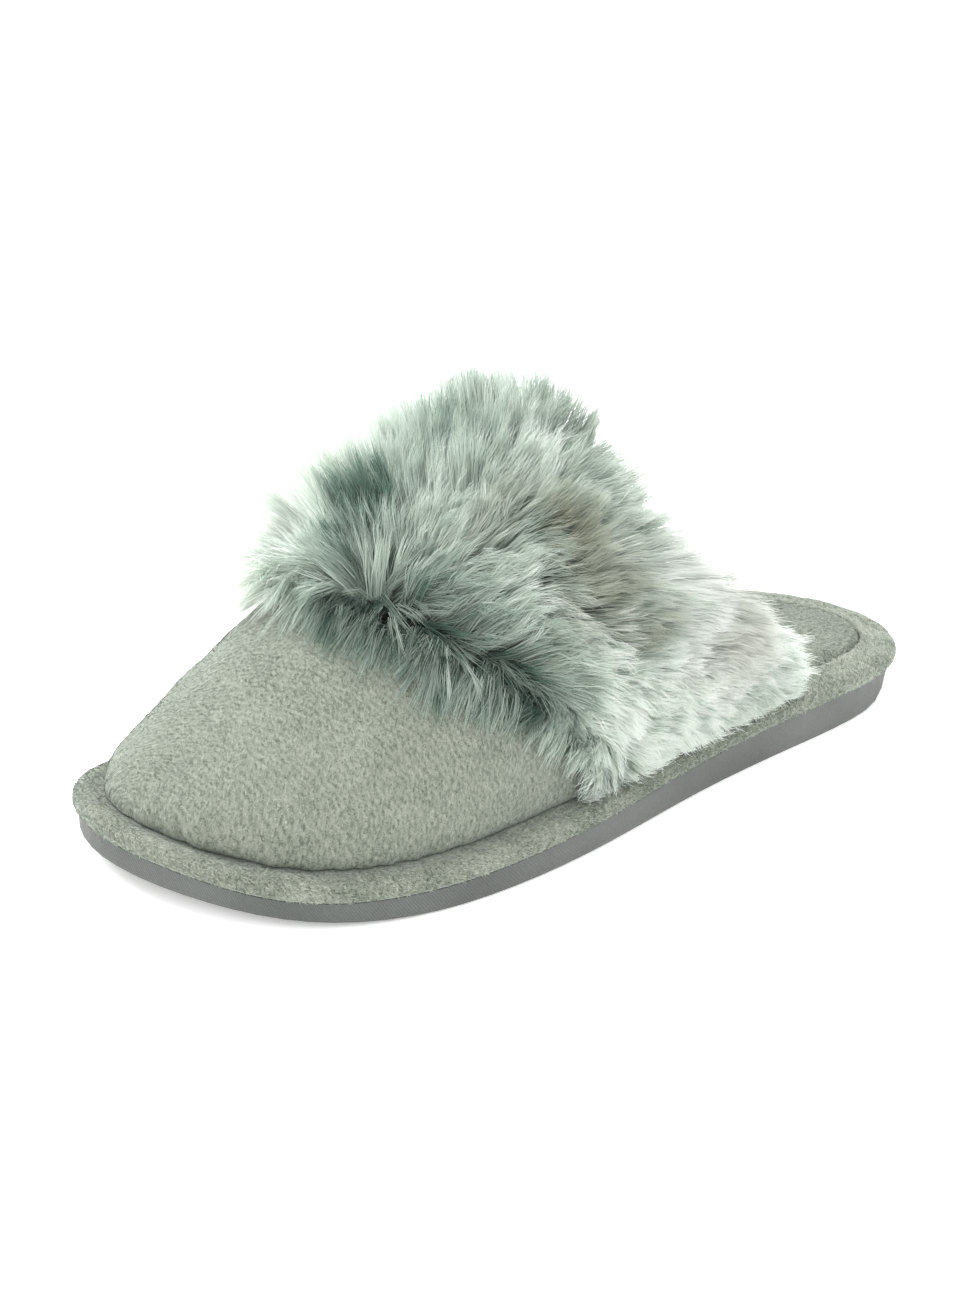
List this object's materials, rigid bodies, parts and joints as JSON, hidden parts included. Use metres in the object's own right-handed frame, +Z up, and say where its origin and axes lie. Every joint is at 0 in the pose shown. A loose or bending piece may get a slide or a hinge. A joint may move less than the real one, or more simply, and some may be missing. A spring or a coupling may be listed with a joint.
{
  "type": "faux fur mule slipper",
  "caption": "Closed-toe mule slipper with a plush vamp, a deep faux fur band over the instep, a padded footbed with a rolled plush rand and a moulded rubber sole.",
  "frame": {"origin": "middle of the bounding box, on the floor", "axes": "+Z up, toe towards -Y, +X towards the outer side of this left slipper"},
  "size_m": [0.1036, 0.2572, 0.1107],
  "materials": {
    "outsole": "matte moulded grey thermoplastic rubber",
    "platform": "sage green short-nap plush over foam",
    "insole": "sage green short-nap plush over foam",
    "upper": "sage green short-nap plush with a diagonal nap",
    "fur_cuff": "long faux fur, mint to near white with darker teal and taupe patches"
  },
  "bodies": {
    "root": {"outsole": "outsole", "platform": "platform", "insole": "insole", "upper": "upper", "fur_cuff": "fur_cuff"}
  },
  "joints": []
}
